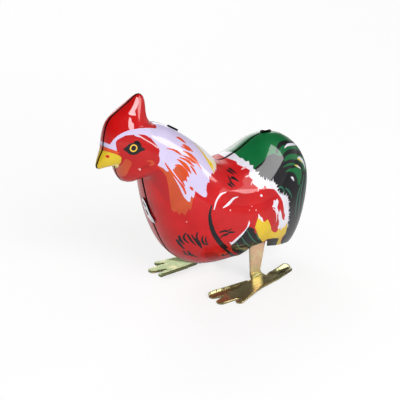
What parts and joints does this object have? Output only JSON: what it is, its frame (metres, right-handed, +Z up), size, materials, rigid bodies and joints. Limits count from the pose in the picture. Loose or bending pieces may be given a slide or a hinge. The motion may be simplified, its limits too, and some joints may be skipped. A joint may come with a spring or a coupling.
{
  "type": "wind up tin toy",
  "caption": "Wind-up tin rooster: a printed tinplate body in two halves on steel bird feet, with a butterfly key and a geared clockwork that rocks the legs.",
  "frame": {"origin": "on the ground, under the middle of the length, in the seam plane between the body halves", "axes": "+Z up; the bird faces -Y, its tail points to +Y, and its left side is +X"},
  "size_m": [0.0471, 0.093, 0.0771],
  "materials": {
    "printed_tinplate": "gloss lithographed tinplate in red, green, white, yellow and black; bare tin inside",
    "yellow_zinc": "zinc plated steel with yellow iridescent chromate",
    "zinc_steel": "zinc plated sheet steel",
    "steel": "turned or stamped mild steel",
    "blued_steel": "blued spring steel",
    "brass": "stamped brass",
    "nickel": "nickel plated steel"
  },
  "bodies": {
    "body": {"body_half_left": "printed_tinplate", "body_half_right": "printed_tinplate", "motor_plate_left": "zinc_steel", "motor_plate_right": "zinc_steel", "crossbar_front": "zinc_steel", "crossbar_rear": "zinc_steel", "pillar_front_lower": "steel", "pillar_front_upper": "steel", "pillar_rear_lower": "steel", "pillar_rear_upper": "steel", "key_eyelet": "brass", "mainspring": "blued_steel"},
    "winder": {"winding_arbor": "steel", "ratchet_wheel": "steel", "winding_key": "nickel"},
    "great": {"great_wheel": "brass", "click_rivet": "steel", "click_spring": "blued_steel"},
    "click": {"click": "steel"},
    "second": {"second_arbor": "steel", "second_pinion": "steel", "second_wheel": "brass"},
    "star": {"star_arbor": "steel", "star_pinion": "steel", "star_wheel": "brass"},
    "legs": {"leg_axle": "steel", "leg_left": "yellow_zinc", "leg_right": "yellow_zinc", "leg_spacer_left": "brass", "leg_spacer_right": "brass", "leg_washer_left": "steel", "leg_washer_right": "steel", "rocker": "steel"}
  },
  "joints": [
    {"name": "key_wind", "type": "hinge", "parent": "body", "child": "winder", "pos_m": [0, 0.001, 0.028], "axis": [1, 0, 0], "range_deg": [0, 1350]},
    {"name": "great_wheel_spin", "type": "hinge", "parent": "body", "child": "great", "pos_m": [0, 0.001, 0.028], "axis": [1, 0, 0], "continuous": true},
    {"name": "click_lift", "type": "hinge", "parent": "great", "child": "click", "pos_m": [0, -0.00411, 0.03095], "axis": [1, 0, 0], "range_deg": [-8, 0]},
    {"name": "second_wheel_spin", "type": "hinge", "parent": "body", "child": "second", "pos_m": [0, 0.01259, 0.03111], "axis": [1, 0, 0], "continuous": true},
    {"name": "star_wheel_spin", "type": "hinge", "parent": "body", "child": "star", "pos_m": [0, 0.01919, 0.02649], "axis": [1, 0, 0], "continuous": true},
    {"name": "leg_rock", "type": "hinge", "parent": "body", "child": "legs", "pos_m": [0, 0.017, 0.0215], "axis": [1, 0, 0], "range_deg": [-8, 8]}
  ],
  "couplings": [
    {"joint": "second_wheel_spin", "follows": "great_wheel_spin", "ratio": -4},
    {"joint": "star_wheel_spin", "follows": "great_wheel_spin", "ratio": 14.4}
  ]
}
